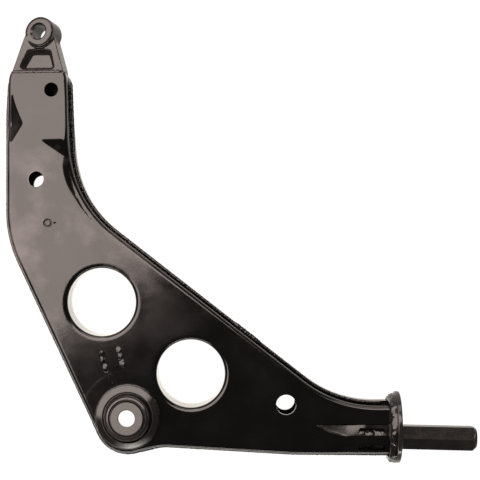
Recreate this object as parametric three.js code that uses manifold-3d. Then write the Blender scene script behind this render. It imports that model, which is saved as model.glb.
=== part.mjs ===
// Front lower control arm of a car, bare: a box section welded from two pressed steel shells, with a
// forged eye for the outer ball joint, a forged boss for the inner ball joint and a hexagonal spigot
// for the rear bush. Millimetres, +Z up. The arm is drawn about the inner boss's axis, with z = 0 on
// the upper plate's outer face, and the finished group is moved so that the origin is the centre of
// its footprint on the plane that it rests on.
import * as THREE from 'three';
import { mergeVertices } from 'three/addons/utils/BufferGeometryUtils.js';
import Module from 'manifold-3d';

const wasm = await Module();
wasm.setup();

// ---------------------------------------------------------------- driving dimensions

const GAP = 0.3; // clearance left between pieces that touch

// Plan of the rim, the widest line of the box section: corner points with their fillet radii.
const NECK_END_Y = 310;
const SPIGOT_END_X = 237.5;
const OUTER_EDGE = [
  [-105.8, NECK_END_Y, 0],
  [-110.8, 303.4, 3],
  [-112.4, 272, 100],
  [-112.5, 160.5, 112],
  [-18.2, -41.2, 30.6],
  [30.1, -30.1, 50],
  [150, -37.2, 150],
  [SPIGOT_END_X, -37.8, 0],
];
const INNER_EDGE = [
  [-57.2, NECK_END_Y, 0],
  [-51.9, 303.2, 3],
  [-47.9, 196.5, 99],
  [188.6, 12.4, 104],
  [SPIGOT_END_X, 12.4, 0],
];
// Distances along the outer and the inner edge that face each other across the arm.
const FACING = [[0, 0], [80, 77], [368, 262], [455, 330]];
// Spacing of the shells' sections: [distance along the outer edge, step up to there].
const SECTION_STEPS = [[8.4, 2.8], [102, 7.3], [186, 12], [345, 32], [395, 8.4], [500, 21], [575, 9.4], [650, 14]];
const PLATE_STRIPS = 6;

// Sheet and section.
const SHEET = 2.8;
const RIM_Z = -18;
const OVERLAP = 4;
const UPPER_INSET = 3.4; // the upper shell's wall stands inside the lower shell's wall
const UPPER_BEND = 4;
const LOWER_DRAFT = 0.4;
const LOWER_BEND = 5;
const BODY_DEPTH = 38;
const NECK_DEPTH = 28;
const NECK_DEPTH_Y = [226, 272]; // the depth changes between these

// Neck: it turns about its own length, and has a pressed dart on each side.
const NECK_TWIST = THREE.MathUtils.degToRad(6);
const NECK_TWIST_Y = [225, 300];
const NECK_AXIS = new THREE.Vector2(-81, -14); // x and z
const LEFT_DART = { tip: [-94.6, 264], mouth: [-107, 264], halfWidth: 24, depth: 9 };
const RIGHT_DART = { tip: [-90.5, 251.5], mouth: [-54, 242], halfWidth: 8, depth: 8 };

// Rear end: each plate has a trough pressed round the spigot's shank.
const SPIGOT_Y = -21.4;
const SPIGOT_TILT = THREE.MathUtils.degToRad(-1.4); // in plan, about a point along the bar
const SPIGOT_TILT_X = 275;
const MID_Z = -19;
const SADDLE_RADIUS = 16.9;
const SADDLE_HALF_WIDTH = 14;
const SADDLE_WALL_SLOPE = 3.5; // of the trough's side wall
const RAMP_X = [169.9, 199.3];

// Holes.
const BIG_HOLES = [[-23.7, 103], [56.6, 38.5]];
const LIP_START_RADIUS = 34.6;
const LIP_THROAT_RADIUS = 30.6;
const NECK_HOLE = { at: [-68.8, 294.2], radius: 6.45 };
const DRAIN_HOLE = { at: [-82.8, 213.9], radius: 7.05 };
const LOWER_DRAIN_HOLE = { at: [-81.8, 210.4], radius: 8.2 };
const TOOLING_HOLE = { at: [142.5, 10.7], radius: 9 };

// Inner joint boss.
const BOSS_BODY_RADIUS = 21.2;
const BOSS_FLANGE_RADIUS = 28.2;
const BOSS_FLANGE_UNDER = 3;
const BOSS_TOP = 15;
const BOSS_BOTTOM = -50;
const BOSS_BORE_RADIUS = 7.4;
const BOSS_HOLE_RADIUS = 22; // in the plates

// Stiffener channel beside the boss, and the slots through which it is welded.
const CHANNEL_ANGLE = THREE.MathUtils.degToRad(15.4);
const CHANNEL_FROM = 31;
const CHANNEL_TO = 65;
const CHANNEL_PITCH = 15.4;
const CHANNEL_SHEET = 2.5;
const CHANNEL_SLOT = { middle: 53.8, length: 20, width: 5.4 };

// Outer joint lug.
const EYE_CENTRE = new THREE.Vector3(-77.6, 345.7, -11.6);
const EYE_AXIS = new THREE.Vector3(-0.325, 0.15, 0.934).normalize();
const EYE_RADIUS = 14;
const EYE_LENGTH = 20.8;
const EYE_BORE = [6.6, 7.6]; // upper and lower radius of the tapered bore
const LUG_TOP = -3.3;
const LUG_BOTTOM = -24.7;
const TONGUE_LENGTH = 7;
const POCKET_DEPTH = 5.5;

// Spigot bar, flange and their slots.
const SHANK_RADIUS = 13.4;
const SHANK_HALF_FLAT = 9.8;
const SHANK_LENGTH = 52;
const HEX_FLATS = 21;
const HEX_END_X = 316.6;
const HEX_CHAMFER = 4;
const FLANGE_X = [242, 246.3];
const FLANGE_Y = -11.8;
const FLANGE_RADIUS = 32.6;
const SADDLE_SLOT = { x: 220, offset: 7.3, length: 24.6, width: 6.6 };

// ---------------------------------------------------------------- solids

// A three.js geometry as a manifold-3d solid.
function solid(geometry) {
  const bare = geometry.clone();
  bare.deleteAttribute('normal');
  bare.deleteAttribute('uv');
  const merged = mergeVertices(bare, 1e-4);
  const mesh = new wasm.Mesh({
    numProp: 3,
    vertProperties: merged.attributes.position.array,
    triVerts: new Uint32Array(merged.index.array),
  });
  return new wasm.Manifold(mesh);
}

// A manifold-3d solid as a three.js geometry.
function geometryOf(manifold) {
  const mesh = manifold.getMesh();
  const geometry = new THREE.BufferGeometry();
  geometry.setAttribute('position', new THREE.BufferAttribute(mesh.vertProperties, 3));
  geometry.setIndex(new THREE.BufferAttribute(mesh.triVerts, 1));
  geometry.computeVertexNormals();
  return geometry;
}

function cylinder(radiusTop, radiusBottom, height, sides) {
  return new THREE.CylinderGeometry(radiusTop, radiusBottom, height, sides).rotateX(Math.PI / 2);
}

// A solid turned about z from a closed profile of [radius, z] points, listed anticlockwise.
function turned(profile, sides) {
  const points = [...profile, profile[0]].map(([r, z]) => new THREE.Vector2(r, z));
  return new THREE.LatheGeometry(points, sides).rotateX(Math.PI / 2);
}

function prism(outline, height) {
  const shape = new THREE.Shape(outline.map(([x, y]) => new THREE.Vector2(x, y)));
  return new THREE.ExtrudeGeometry(shape, { depth: height, bevelEnabled: false });
}

const X_AXIS = new THREE.Vector3(1, 0, 0);
const Y_AXIS = new THREE.Vector3(0, 1, 0);
const Z_AXIS = new THREE.Vector3(0, 0, 1);

// A section of [y, z] points drawn out along x.
function prismAlongX(section, from, to) {
  const turn = new THREE.Matrix4().makeBasis(Y_AXIS, Z_AXIS, X_AXIS);
  return prism(section, to - from).applyMatrix4(turn).translate(from, 0, 0);
}

// A flat bar with round ends along x, centred, from z = 0 up to height.
function roundEnded(length, width, height, endSegments = 6) {
  const half = (length - width) / 2;
  const shape = new THREE.Shape();
  shape.absarc(half, 0, width / 2, -Math.PI / 2, Math.PI / 2);
  shape.absarc(-half, 0, width / 2, Math.PI / 2, (3 * Math.PI) / 2);
  return new THREE.ExtrudeGeometry(shape, {
    depth: height,
    bevelEnabled: false,
    curveSegments: endSegments,
  });
}

// The closed solid between two grids of points, [station][across], that face away from each other.
function solidBetween(outside, inside) {
  const rows = outside.length;
  const columns = outside[0].length;
  const position = [...outside.flat(), ...inside.flat()].flatMap((p) => p.toArray());
  const index = [];
  const out = (i, j) => i * columns + j;
  const inn = (i, j) => (rows + i) * columns + j;
  const quad = (a, b, c, d) => index.push(a, b, c, a, c, d);
  for (let i = 0; i + 1 < rows; i++) {
    for (let j = 0; j + 1 < columns; j++) {
      quad(out(i, j), out(i + 1, j), out(i + 1, j + 1), out(i, j + 1));
      quad(inn(i, j), inn(i, j + 1), inn(i + 1, j + 1), inn(i + 1, j));
    }
    quad(out(i, 0), inn(i, 0), inn(i + 1, 0), out(i + 1, 0));
    quad(out(i, columns - 1), out(i + 1, columns - 1), inn(i + 1, columns - 1), inn(i, columns - 1));
  }
  for (let j = 0; j + 1 < columns; j++) {
    quad(out(0, j), out(0, j + 1), inn(0, j + 1), inn(0, j));
    quad(out(rows - 1, j), inn(rows - 1, j), inn(rows - 1, j + 1), out(rows - 1, j + 1));
  }
  const geometry = new THREE.BufferGeometry();
  geometry.setAttribute('position', new THREE.Float32BufferAttribute(position, 3));
  geometry.setIndex(index);
  return geometry;
}

// ---------------------------------------------------------------- plan of the arm

// A path through corner points, with an arc of the stated radius at each.
function filletedPath(corners) {
  const path = new THREE.Path();
  path.moveTo(corners[0][0], corners[0][1]);
  for (let i = 1; i + 1 < corners.length; i++) {
    const [before, corner, after] = [corners[i - 1], corners[i], corners[i + 1]].map(
      ([x, y]) => new THREE.Vector2(x, y),
    );
    const radius = corners[i][2];
    const into = corner.clone().sub(before).normalize();
    const away = after.clone().sub(corner).normalize();
    const turn = Math.atan2(into.cross(away), into.dot(away));
    const back = radius * Math.tan(Math.abs(turn) / 2);
    const start = corner.clone().addScaledVector(into, -back);
    const side = new THREE.Vector2(-into.y, into.x).multiplyScalar(Math.sign(turn));
    const centre = start.clone().addScaledVector(side, radius);
    const from = Math.atan2(start.y - centre.y, start.x - centre.x);
    path.lineTo(start.x, start.y);
    path.absarc(centre.x, centre.y, radius, from, from + turn, turn < 0);
  }
  const last = corners[corners.length - 1];
  path.lineTo(last[0], last[1]);
  return path;
}

// An edge of the plan: at(distance) gives the point there and the unit normal into the arm.
function edge(corners, inwardSign) {
  const path = filletedPath(corners);
  const length = path.getLength();
  const at = (distance) => {
    const u = THREE.MathUtils.clamp(distance / length, 0, 1);
    const tangent = path.getTangentAt(u);
    const normal = new THREE.Vector2(-tangent.y, tangent.x).multiplyScalar(inwardSign);
    return { point: path.getPointAt(u), normal };
  };
  return { length, at };
}

const outerEdge = edge(OUTER_EDGE, 1);
const innerEdge = edge(INNER_EDGE, -1);
const facing = [...FACING, [outerEdge.length, innerEdge.length]];

// The distance along the inner edge that faces a distance along the outer edge.
function facingDistance(outerDistance) {
  const last = facing.findIndex(([outer]) => outer >= outerDistance - 1e-9);
  const [outerTo, innerTo] = facing[Math.max(last, 1)];
  const [outerFrom, innerFrom] = facing[Math.max(last, 1) - 1];
  const share = (outerDistance - outerFrom) / (outerTo - outerFrom);
  return innerFrom + share * (innerTo - innerFrom);
}

// Pairs of facing edge points at which the shells' sections are drawn.
function stations() {
  const distances = [0];
  let from = 0;
  for (const [end, step] of SECTION_STEPS) {
    const to = Math.min(end, outerEdge.length);
    const count = Math.round((to - from) / step);
    for (let i = 1; i <= count; i++) distances.push(from + (i / count) * (to - from));
    from = to;
  }
  return distances.map((distance) => [outerEdge.at(distance), innerEdge.at(facingDistance(distance))]);
}

// ---------------------------------------------------------------- height of the plates

function dartDepth({ tip, mouth, halfWidth, depth }, x, y) {
  const along = new THREE.Vector2(mouth[0] - tip[0], mouth[1] - tip[1]);
  const length = along.length();
  along.normalize();
  const [dx, dy] = [x - tip[0], y - tip[1]];
  const forward = Math.min((dx * along.x + dy * along.y) / length, 1);
  const sideways = Math.abs(dx * along.y - dy * along.x);
  return depth * Math.max(0, forward - sideways / halfWidth);
}

// How far the saddle round the shank lies below the flat plate, 0 or negative.
function saddleHeight(x, y) {
  const sideways = Math.abs(y - SPIGOT_Y);
  const beyond = Math.max(sideways - SADDLE_HALF_WIDTH, 0);
  const round =
    MID_Z + Math.sqrt(SADDLE_RADIUS ** 2 - (sideways - beyond) ** 2) + beyond * SADDLE_WALL_SLOPE;
  const shelf = MID_Z + Math.sqrt(SADDLE_RADIUS ** 2 - SADDLE_HALF_WIDTH ** 2);
  const lift = -shelf * (1 - THREE.MathUtils.clamp((x - RAMP_X[0]) / (RAMP_X[1] - RAMP_X[0]), 0, 1));
  return Math.min(0, round + lift);
}

function upperPlateZ(x, y) {
  return saddleHeight(x, y) - dartDepth(LEFT_DART, x, y) - dartDepth(RIGHT_DART, x, y);
}

function lowerPlateZ(x, y) {
  const neck = THREE.MathUtils.smoothstep(y, ...NECK_DEPTH_Y);
  return -THREE.MathUtils.lerp(BODY_DEPTH, NECK_DEPTH, neck) - saddleHeight(x, y);
}

// The neck's turn about its own length.
function twisted(x, y, z) {
  const angle = NECK_TWIST * THREE.MathUtils.smoothstep(y, ...NECK_TWIST_Y);
  const [dx, dz] = [x - NECK_AXIS.x, z - NECK_AXIS.y];
  return new THREE.Vector3(
    NECK_AXIS.x + dx * Math.cos(angle) - dz * Math.sin(angle),
    y,
    NECK_AXIS.y + dx * Math.sin(angle) + dz * Math.cos(angle),
  );
}

// ---------------------------------------------------------------- pressed shells

const BEND_ANGLES = [0, 45, 90].map(THREE.MathUtils.degToRad);

// One skin of a shell: at each station, up one wall, round the bend, across the plate and down again.
// wall(z) is how far the wall stands inside the rim; away is +1 for the upper shell, -1 for the lower.
function skin({ rim, wall, bend, away, plateZ, plateOffset, wallTopOf }) {
  const plateInset = wallTopOf.inset + wallTopOf.bend;
  return stations().map(([outer, inner]) => {
    const inset = (e, d) => e.point.clone().addScaledVector(e.normal, d);
    const side = (e) => {
      const start = inset(e, plateInset);
      const bendZ = plateZ(start.x, start.y) - away * wallTopOf.bend;
      const points = [[inset(e, wall(rim)), rim]];
      for (const angle of BEND_ANGLES) {
        const d = wall(bendZ) + bend * (1 - Math.cos(angle));
        points.push([inset(e, d), bendZ + away * bend * Math.sin(angle)]);
      }
      return points;
    };
    const left = side(outer);
    const right = side(inner).reverse();
    const from = inset(outer, plateInset);
    const to = inset(inner, plateInset);
    const across = [];
    for (let i = 1; i < PLATE_STRIPS; i++) {
      const p = from.clone().lerp(to, i / PLATE_STRIPS);
      across.push([p, plateZ(p.x, p.y) - away * plateOffset]);
    }
    return [...left, ...across, ...right].map(([p, z]) => twisted(p.x, p.y, z));
  });
}

function upperPan() {
  const wallTopOf = { inset: UPPER_INSET, bend: UPPER_BEND };
  const common = { rim: RIM_Z - OVERLAP, away: 1, plateZ: upperPlateZ, wallTopOf };
  const outside = skin({ ...common, wall: () => UPPER_INSET, bend: UPPER_BEND, plateOffset: 0 });
  const inside = skin({
    ...common,
    wall: () => UPPER_INSET + SHEET,
    bend: UPPER_BEND - SHEET,
    plateOffset: SHEET,
  });
  return solidBetween(outside, inside);
}

function lowerPan() {
  const draft = (z) => (LOWER_DRAFT * (RIM_Z - z)) / (RIM_Z + BODY_DEPTH - LOWER_BEND);
  const wallTopOf = { inset: LOWER_DRAFT, bend: LOWER_BEND };
  const common = { rim: RIM_Z, away: -1, plateZ: lowerPlateZ, wallTopOf };
  const outside = skin({ ...common, wall: draft, bend: LOWER_BEND, plateOffset: 0 });
  const inside = skin({
    ...common,
    wall: (z) => SHEET + draft(z),
    bend: LOWER_BEND - SHEET,
    plateOffset: SHEET,
  });
  return solidBetween(inside, outside);
}

const HOLE_SIDES = 32;
const BOSS_SIDES = 40;

// The funnel lip of a big hole, from the plate's outer face at z = 0 down to the middle of the arm.
function holeLip() {
  const tuck = 1.2; // how far the lip's ring reaches into the plate around it
  const round = LIP_START_RADIUS - LIP_THROAT_RADIUS;
  const bottom = MID_Z + GAP;
  const arc = (radius, angle) => [
    LIP_START_RADIUS - radius * Math.sin(angle),
    -round + radius * Math.cos(angle),
  ];
  const angles = [0, 30, 60, 90].map(THREE.MathUtils.degToRad);
  const profile = [
    [LIP_START_RADIUS + tuck, -SHEET],
    [LIP_START_RADIUS + tuck, 0],
    ...angles.map((angle) => arc(round, angle)),
    [LIP_THROAT_RADIUS, bottom],
    [LIP_THROAT_RADIUS + SHEET, bottom],
    ...angles.map((angle) => arc(round - SHEET, angle)).reverse(),
  ];
  return turned(profile, HOLE_SIDES);
}

function holeCutter({ at, radius, sides = 20 }) {
  const [bottom, top] = [-80, 40];
  const cutter = cylinder(radius, radius, top - bottom, sides);
  return solid(cutter.translate(at[0], at[1], (top + bottom) / 2));
}

// Slots over the stiffener's walls, and slots on both sides of the saddle's crown.
function channelSlotPlaces() {
  const along = new THREE.Vector2(-Math.sin(CHANNEL_ANGLE), Math.cos(CHANNEL_ANGLE));
  return [-1, 1].map((side) => ({
    x: along.x * CHANNEL_SLOT.middle + (side * along.y * CHANNEL_PITCH) / 2,
    y: along.y * CHANNEL_SLOT.middle - (side * along.x * CHANNEL_PITCH) / 2,
  }));
}

function inChannelSlot(geometry, { x, y }, z) {
  return geometry.rotateZ(Math.PI / 2 + CHANNEL_ANGLE).translate(x, y, z);
}

// Moves a geometry drawn on top of a crown at z = radius round the spigot's axis, to one of its slots.
function inSaddleSlot(geometry, side, upright) {
  const angle = -side * Math.asin(SADDLE_SLOT.offset / SADDLE_RADIUS);
  geometry.rotateX(angle);
  if (!upright) geometry.rotateX(Math.PI);
  return geometry.translate(SADDLE_SLOT.x, SPIGOT_Y, MID_Z);
}

function saddleSlotCutters(upright) {
  return [-1, 1].map((side) => {
    const bar = roundEnded(SADDLE_SLOT.length, SADDLE_SLOT.width, 2 * SHEET + 4);
    return solid(inSaddleSlot(bar.translate(0, 0, SADDLE_RADIUS - SHEET - 2), side, upright));
  });
}

// Takes the sharp corners off the neck's end.
function neckCorner(x, turn, depth) {
  const block = new THREE.BoxGeometry(40, 20, 90);
  return solid(block.translate(0, 10 - depth, 0).rotateZ(turn).translate(x, NECK_END_Y, MID_Z));
}

function cutNeckCorners(shell) {
  return shell
    .subtract(neckCorner(OUTER_EDGE[0][0], THREE.MathUtils.degToRad(48), 4.6))
    .subtract(neckCorner(INNER_EDGE[0][0], THREE.MathUtils.degToRad(-49), 2));
}

function upperShell() {
  let shell = solid(upperPan());
  for (const [x, y] of BIG_HOLES) {
    shell = shell.subtract(holeCutter({ at: [x, y], radius: LIP_START_RADIUS, sides: HOLE_SIDES }));
    shell = shell.add(solid(holeLip().translate(x, y, 0)));
  }
  for (const hole of [NECK_HOLE, DRAIN_HOLE, TOOLING_HOLE]) {
    shell = shell.subtract(holeCutter(hole));
  }
  shell = shell.subtract(holeCutter({ at: [0, 0], radius: BOSS_HOLE_RADIUS, sides: BOSS_SIDES }));
  for (const place of channelSlotPlaces()) {
    const bar = roundEnded(CHANNEL_SLOT.length, CHANNEL_SLOT.width, 10);
    shell = shell.subtract(solid(inChannelSlot(bar, place, -6)));
  }
  for (const cutter of saddleSlotCutters(true)) shell = shell.subtract(cutter);
  return geometryOf(cutNeckCorners(shell));
}

function lowerShell() {
  let shell = solid(lowerPan());
  for (const [x, y] of BIG_HOLES) {
    shell = shell.subtract(holeCutter({ at: [x, y], radius: LIP_START_RADIUS, sides: HOLE_SIDES }));
    const lip = holeLip().rotateX(Math.PI).translate(x, y, 2 * MID_Z);
    shell = shell.add(solid(lip));
  }
  for (const hole of [LOWER_DRAIN_HOLE, TOOLING_HOLE]) shell = shell.subtract(holeCutter(hole));
  shell = shell.subtract(holeCutter({ at: [0, 0], radius: BOSS_HOLE_RADIUS, sides: BOSS_SIDES }));
  for (const cutter of saddleSlotCutters(false)) shell = shell.subtract(cutter);
  return geometryOf(cutNeckCorners(shell));
}

// ---------------------------------------------------------------- inner joint boss

// A cup open downwards: the joint's housing enters from below, its stud comes through the top, and
// the nut seats on the flat rim of that hole.
function innerBoss() {
  const seat = 14.6;
  const ring = 18.4;
  const shoulder = 21.4;
  const profile = [
    [BOSS_BORE_RADIUS, BOSS_TOP],
    [BOSS_BORE_RADIUS, 9],
    [13, 2],
    [17.5, -8],
    [17.5, BOSS_BOTTOM],
    [BOSS_BODY_RADIUS - 1, BOSS_BOTTOM],
    [BOSS_BODY_RADIUS, BOSS_BOTTOM + 1],
    [BOSS_BODY_RADIUS, BOSS_FLANGE_UNDER],
    [BOSS_FLANGE_RADIUS, BOSS_FLANGE_UNDER],
    [BOSS_FLANGE_RADIUS, BOSS_FLANGE_UNDER + 1],
    [shoulder, 6.5],
    [shoulder - 0.6, 11],
    [ring, 13.6],
    [seat + 1, 13.9],
    [seat, BOSS_TOP],
  ];
  return turned(profile, BOSS_SIDES);
}

// The fillet weld round the boss's flange on the upper plate.
function bossWeldUpper() {
  const outside = BOSS_FLANGE_RADIUS + 2.6;
  const profile = [
    [BOSS_FLANGE_RADIUS + GAP, GAP],
    [outside, GAP],
    [BOSS_FLANGE_RADIUS + 1.6, 1.6],
    [BOSS_FLANGE_RADIUS + GAP, 2.4],
  ];
  return turned(profile, BOSS_SIDES);
}

// The fillet weld round its lower end.
function bossWeldLower() {
  const inside = BOSS_BODY_RADIUS + GAP;
  const profile = [
    [inside, -4.5],
    [inside + 1.6, -3.8],
    [inside + 4.6, -GAP],
    [inside, -GAP],
  ];
  return turned(profile, BOSS_SIDES).translate(0, 0, -BODY_DEPTH);
}

// The pressed channel inside the box that ties the boss's surroundings to both plates.
function stiffener() {
  const outer = CHANNEL_PITCH / 2 + CHANNEL_SHEET / 2;
  const inner = outer - CHANNEL_SHEET;
  const [bottom, top] = [-BODY_DEPTH + SHEET + GAP, -SHEET - GAP];
  const section = [
    [-outer, bottom],
    [outer, bottom],
    [outer, top],
    [inner, top],
    [inner, bottom + CHANNEL_SHEET],
    [-inner, bottom + CHANNEL_SHEET],
    [-inner, top],
    [-outer, top],
  ];
  return prism(section, CHANNEL_TO - CHANNEL_FROM)
    .rotateX(Math.PI / 2)
    .translate(0, CHANNEL_TO, 0)
    .rotateZ(CHANNEL_ANGLE);
}

// A plug of weld metal, a little smaller than its slot.
function slotWeld({ length, width }) {
  return roundEnded(length - 2 * GAP, width - 2 * GAP, SHEET + 0.4, 4);
}

// ---------------------------------------------------------------- outer joint lug

function lugWeb() {
  const outline = [
    [-104.4, NECK_END_Y + 1],
    [-92.7, 342],
    [-66.6, 345],
    [-57, NECK_END_Y + 1],
    [-65.5, NECK_END_Y],
    [-65.5, NECK_END_Y - TONGUE_LENGTH],
    [-97, NECK_END_Y - TONGUE_LENGTH],
    [-97, NECK_END_Y],
  ].reverse();
  return prism(outline, LUG_TOP - LUG_BOTTOM).translate(0, 0, LUG_BOTTOM);
}

function lugPocket(top) {
  const outline = [
    [-98.4, 313.2],
    [-64.9, 313.2],
    [-68.7, 331],
    [-88.8, 331],
  ];
  const height = 20;
  const z = top ? LUG_TOP - POCKET_DEPTH : LUG_BOTTOM + POCKET_DEPTH - height;
  return prism(outline, height).translate(0, 0, z);
}

function alongEye(geometry) {
  const turn = new THREE.Quaternion().setFromUnitVectors(Z_AXIS, EYE_AXIS);
  return geometry.applyQuaternion(turn).translate(...EYE_CENTRE.toArray());
}

// Turns a piece that is drawn level with the neck.
function turnedWithNeck(geometry) {
  return geometry
    .translate(-NECK_AXIS.x, 0, -NECK_AXIS.y)
    .rotateY(-NECK_TWIST)
    .translate(NECK_AXIS.x, 0, NECK_AXIS.y);
}

// The web is drawn level and turned with the neck; the eye's lean is its own.
function outerLug() {
  const clear = alongEye(cylinder(EYE_RADIUS - 1, EYE_RADIUS - 1, 60, 32));
  const eye = alongEye(cylinder(EYE_RADIUS, EYE_RADIUS, EYE_LENGTH, 32));
  const bore = alongEye(cylinder(EYE_BORE[0], EYE_BORE[1], EYE_LENGTH + 0.02, 32));
  const lug = solid(turnedWithNeck(lugWeb()))
    .subtract(solid(clear))
    .add(solid(eye))
    .subtract(solid(turnedWithNeck(lugPocket(true))))
    .subtract(solid(turnedWithNeck(lugPocket(false))))
    .subtract(solid(bore));
  return geometryOf(lug);
}

// The bead in the corner between a shell's end and the lug's upper or lower face.
function lugWeld(upper) {
  const [from, to] = [-102.3, -60.3];
  const face = upper ? LUG_TOP + GAP : LUG_BOTTOM - GAP;
  const up = upper ? 1 : -1;
  const start = NECK_END_Y + GAP;
  const section = [
    [start, face],
    [start + 2.8, face],
    [start + 2, face + up * 1.6],
    [start, face + up * 2.6],
  ];
  return turnedWithNeck(prismAlongX(section, from, to));
}

// ---------------------------------------------------------------- spigot

// Lays a turned piece along the bar's axis, centred at x.
function alongBar(geometry, x) {
  return geometry
    .rotateY(Math.PI / 2)
    .translate(x - SPIGOT_TILT_X, 0, 0)
    .rotateZ(SPIGOT_TILT)
    .translate(SPIGOT_TILT_X, SPIGOT_Y, MID_Z);
}

const BAR_NECK_RADIUS = 12.4; // where the bar passes through the flange, over the hexagon's corners

function spigotBar() {
  const shankFrom = FLANGE_X[0] - SHANK_LENGTH;
  const shankTo = FLANGE_X[0] - 1.2;
  const shankMiddle = (shankFrom + shankTo) / 2;
  const shank = cylinder(SHANK_RADIUS, SHANK_RADIUS, shankTo - shankFrom, 32);
  const flats = new THREE.BoxGeometry(60, 2 * SHANK_HALF_FLAT, 2 * SHANK_LENGTH);
  const hexRadius = HEX_FLATS / Math.sqrt(3);
  const hexFrom = FLANGE_X[1] + 1;
  const hexLength = HEX_END_X - hexFrom;
  const hex = cylinder(hexRadius, hexRadius, hexLength, 6).rotateZ(Math.PI / 6);
  const neck = cylinder(BAR_NECK_RADIUS, BAR_NECK_RADIUS, 10, 32);
  // a long cone that takes the hexagon's corners off at the end
  const slope = 0.9;
  const coneLength = 2 * hexLength;
  const endRadius = hexRadius - HEX_CHAMFER * slope;
  const cone = cylinder(endRadius, endRadius + coneLength * slope, coneLength, 48);
  return geometryOf(
    solid(alongBar(shank, shankMiddle))
      .intersect(solid(alongBar(flats, shankMiddle)))
      .add(solid(alongBar(neck, (shankTo + hexFrom) / 2)))
      .add(
        solid(alongBar(hex, hexFrom + hexLength / 2)).intersect(
          solid(alongBar(cone, HEX_END_X - coneLength / 2)),
        ),
      ),
  );
}

function spigotFlange() {
  const thickness = FLANGE_X[1] - FLANGE_X[0];
  const middle = (FLANGE_X[0] + FLANGE_X[1]) / 2;
  const disc = cylinder(FLANGE_RADIUS, FLANGE_RADIUS, thickness, 48).rotateY(Math.PI / 2);
  const boreRadius = BAR_NECK_RADIUS + GAP;
  const bore = alongBar(cylinder(boreRadius, boreRadius, 2 * thickness, 32), middle);
  return geometryOf(solid(disc.translate(middle, FLANGE_Y, MID_Z)).subtract(solid(bore)));
}

// The outline of the box section where it meets the flange, a little enlarged.
function endSection() {
  const last = (grid) => grid[grid.length - 1];
  const upper = last(skin({
    rim: RIM_Z,
    wall: () => UPPER_INSET,
    bend: UPPER_BEND,
    away: 1,
    plateZ: upperPlateZ,
    plateOffset: 0,
    wallTopOf: { inset: UPPER_INSET, bend: UPPER_BEND },
  }));
  const lower = last(skin({
    rim: RIM_Z,
    wall: () => 0,
    bend: LOWER_BEND,
    away: -1,
    plateZ: lowerPlateZ,
    plateOffset: 0,
    wallTopOf: { inset: 0, bend: LOWER_BEND },
  }));
  const grow = 1.02;
  return [...upper.reverse(), ...lower].map(({ y, z }) => [
    FLANGE_Y + (y - FLANGE_Y) * grow,
    MID_Z + (z - MID_Z) * grow,
  ]);
}

// The heavy fillet weld between the shells' open end and the flange.
function flangeWeld() {
  const from = SPIGOT_END_X - 4.5;
  const to = FLANGE_X[0] - GAP;
  const cone = cylinder(FLANGE_RADIUS - 1.2, FLANGE_RADIUS - 6.5, to - from, 40).rotateY(Math.PI / 2);
  const ring = solid(cone.translate((from + to) / 2, FLANGE_Y, MID_Z));
  const plug = solid(prismAlongX(endSection(), from - 30, to + 30));
  return geometryOf(ring.subtract(plug));
}

// ---------------------------------------------------------------- seam welds

const BEAD_RADIUS = 0.9;

// The bead in the corner between the upper shell's wall and the lower shell's rim.
function seamWeld(side, from, to, steps) {
  const inset = UPPER_INSET - 1.6 * GAP - BEAD_RADIUS;
  const z = RIM_Z + GAP + BEAD_RADIUS;
  const points = [];
  for (let i = 0; i <= steps; i++) {
    const { point, normal } = side.at(from + (i / steps) * (to - from));
    const p = point.addScaledVector(normal, inset);
    points.push(twisted(p.x, p.y, z));
  }
  const section = new THREE.Shape().absarc(0, 0, BEAD_RADIUS, 0, 2 * Math.PI);
  return new THREE.ExtrudeGeometry(section, {
    steps,
    curveSegments: 3,
    extrudePath: new THREE.CatmullRomCurve3(points),
  });
}

// ---------------------------------------------------------------- assembly

const PAINT = { color: 0x0c0b0b, roughness: 0.22, metalness: 0.1 };
const WELD_PAINT = { color: 0x12100f, roughness: 0.35, metalness: 0.1 };

const arm = new THREE.Group();

function addPiece(name, geometry, finish = PAINT) {
  const mesh = new THREE.Mesh(geometry, new THREE.MeshStandardMaterial(finish));
  mesh.name = name;
  arm.add(mesh);
  return mesh;
}

addPiece('upper_shell', upperShell());
addPiece('lower_shell', lowerShell());
addPiece('outer_joint_lug', outerLug());
addPiece('inner_joint_boss', innerBoss());
addPiece('boss_stiffener', stiffener());
addPiece('spigot_bar', spigotBar());
addPiece('spigot_flange', spigotFlange());

addPiece('spigot_flange_weld', flangeWeld(), WELD_PAINT);
addPiece('lug_weld_upper', lugWeld(true), WELD_PAINT);
addPiece('lug_weld_lower', lugWeld(false), WELD_PAINT);
addPiece('boss_weld_upper', bossWeldUpper(), WELD_PAINT);
addPiece('boss_weld_lower', bossWeldLower(), WELD_PAINT);
channelSlotPlaces().forEach((place, i) => {
  const plug = slotWeld(CHANNEL_SLOT);
  addPiece(`stiffener_slot_weld_${i + 1}`, inChannelSlot(plug, place, -SHEET + 0.1), WELD_PAINT);
});
for (const upright of [true, false]) {
  [-1, 1].forEach((side, i) => {
    const plug = slotWeld(SADDLE_SLOT).translate(0, 0, SADDLE_RADIUS - SHEET + 0.2);
    const name = `${upright ? 'upper' : 'lower'}_spigot_slot_weld_${i + 1}`;
    addPiece(name, inSaddleSlot(plug, side, upright), WELD_PAINT);
  });
}
const SEAM_START = 8;
addPiece('seam_weld_outer', seamWeld(outerEdge, SEAM_START, outerEdge.length - 6, 56), WELD_PAINT);
addPiece('seam_weld_inner', seamWeld(innerEdge, SEAM_START, innerEdge.length - 6, 40), WELD_PAINT);

const box = new THREE.Box3().setFromObject(arm, true);
const middle = box.getCenter(new THREE.Vector3());
arm.position.set(-middle.x, -middle.y, -box.min.z);

export default arm;
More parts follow.
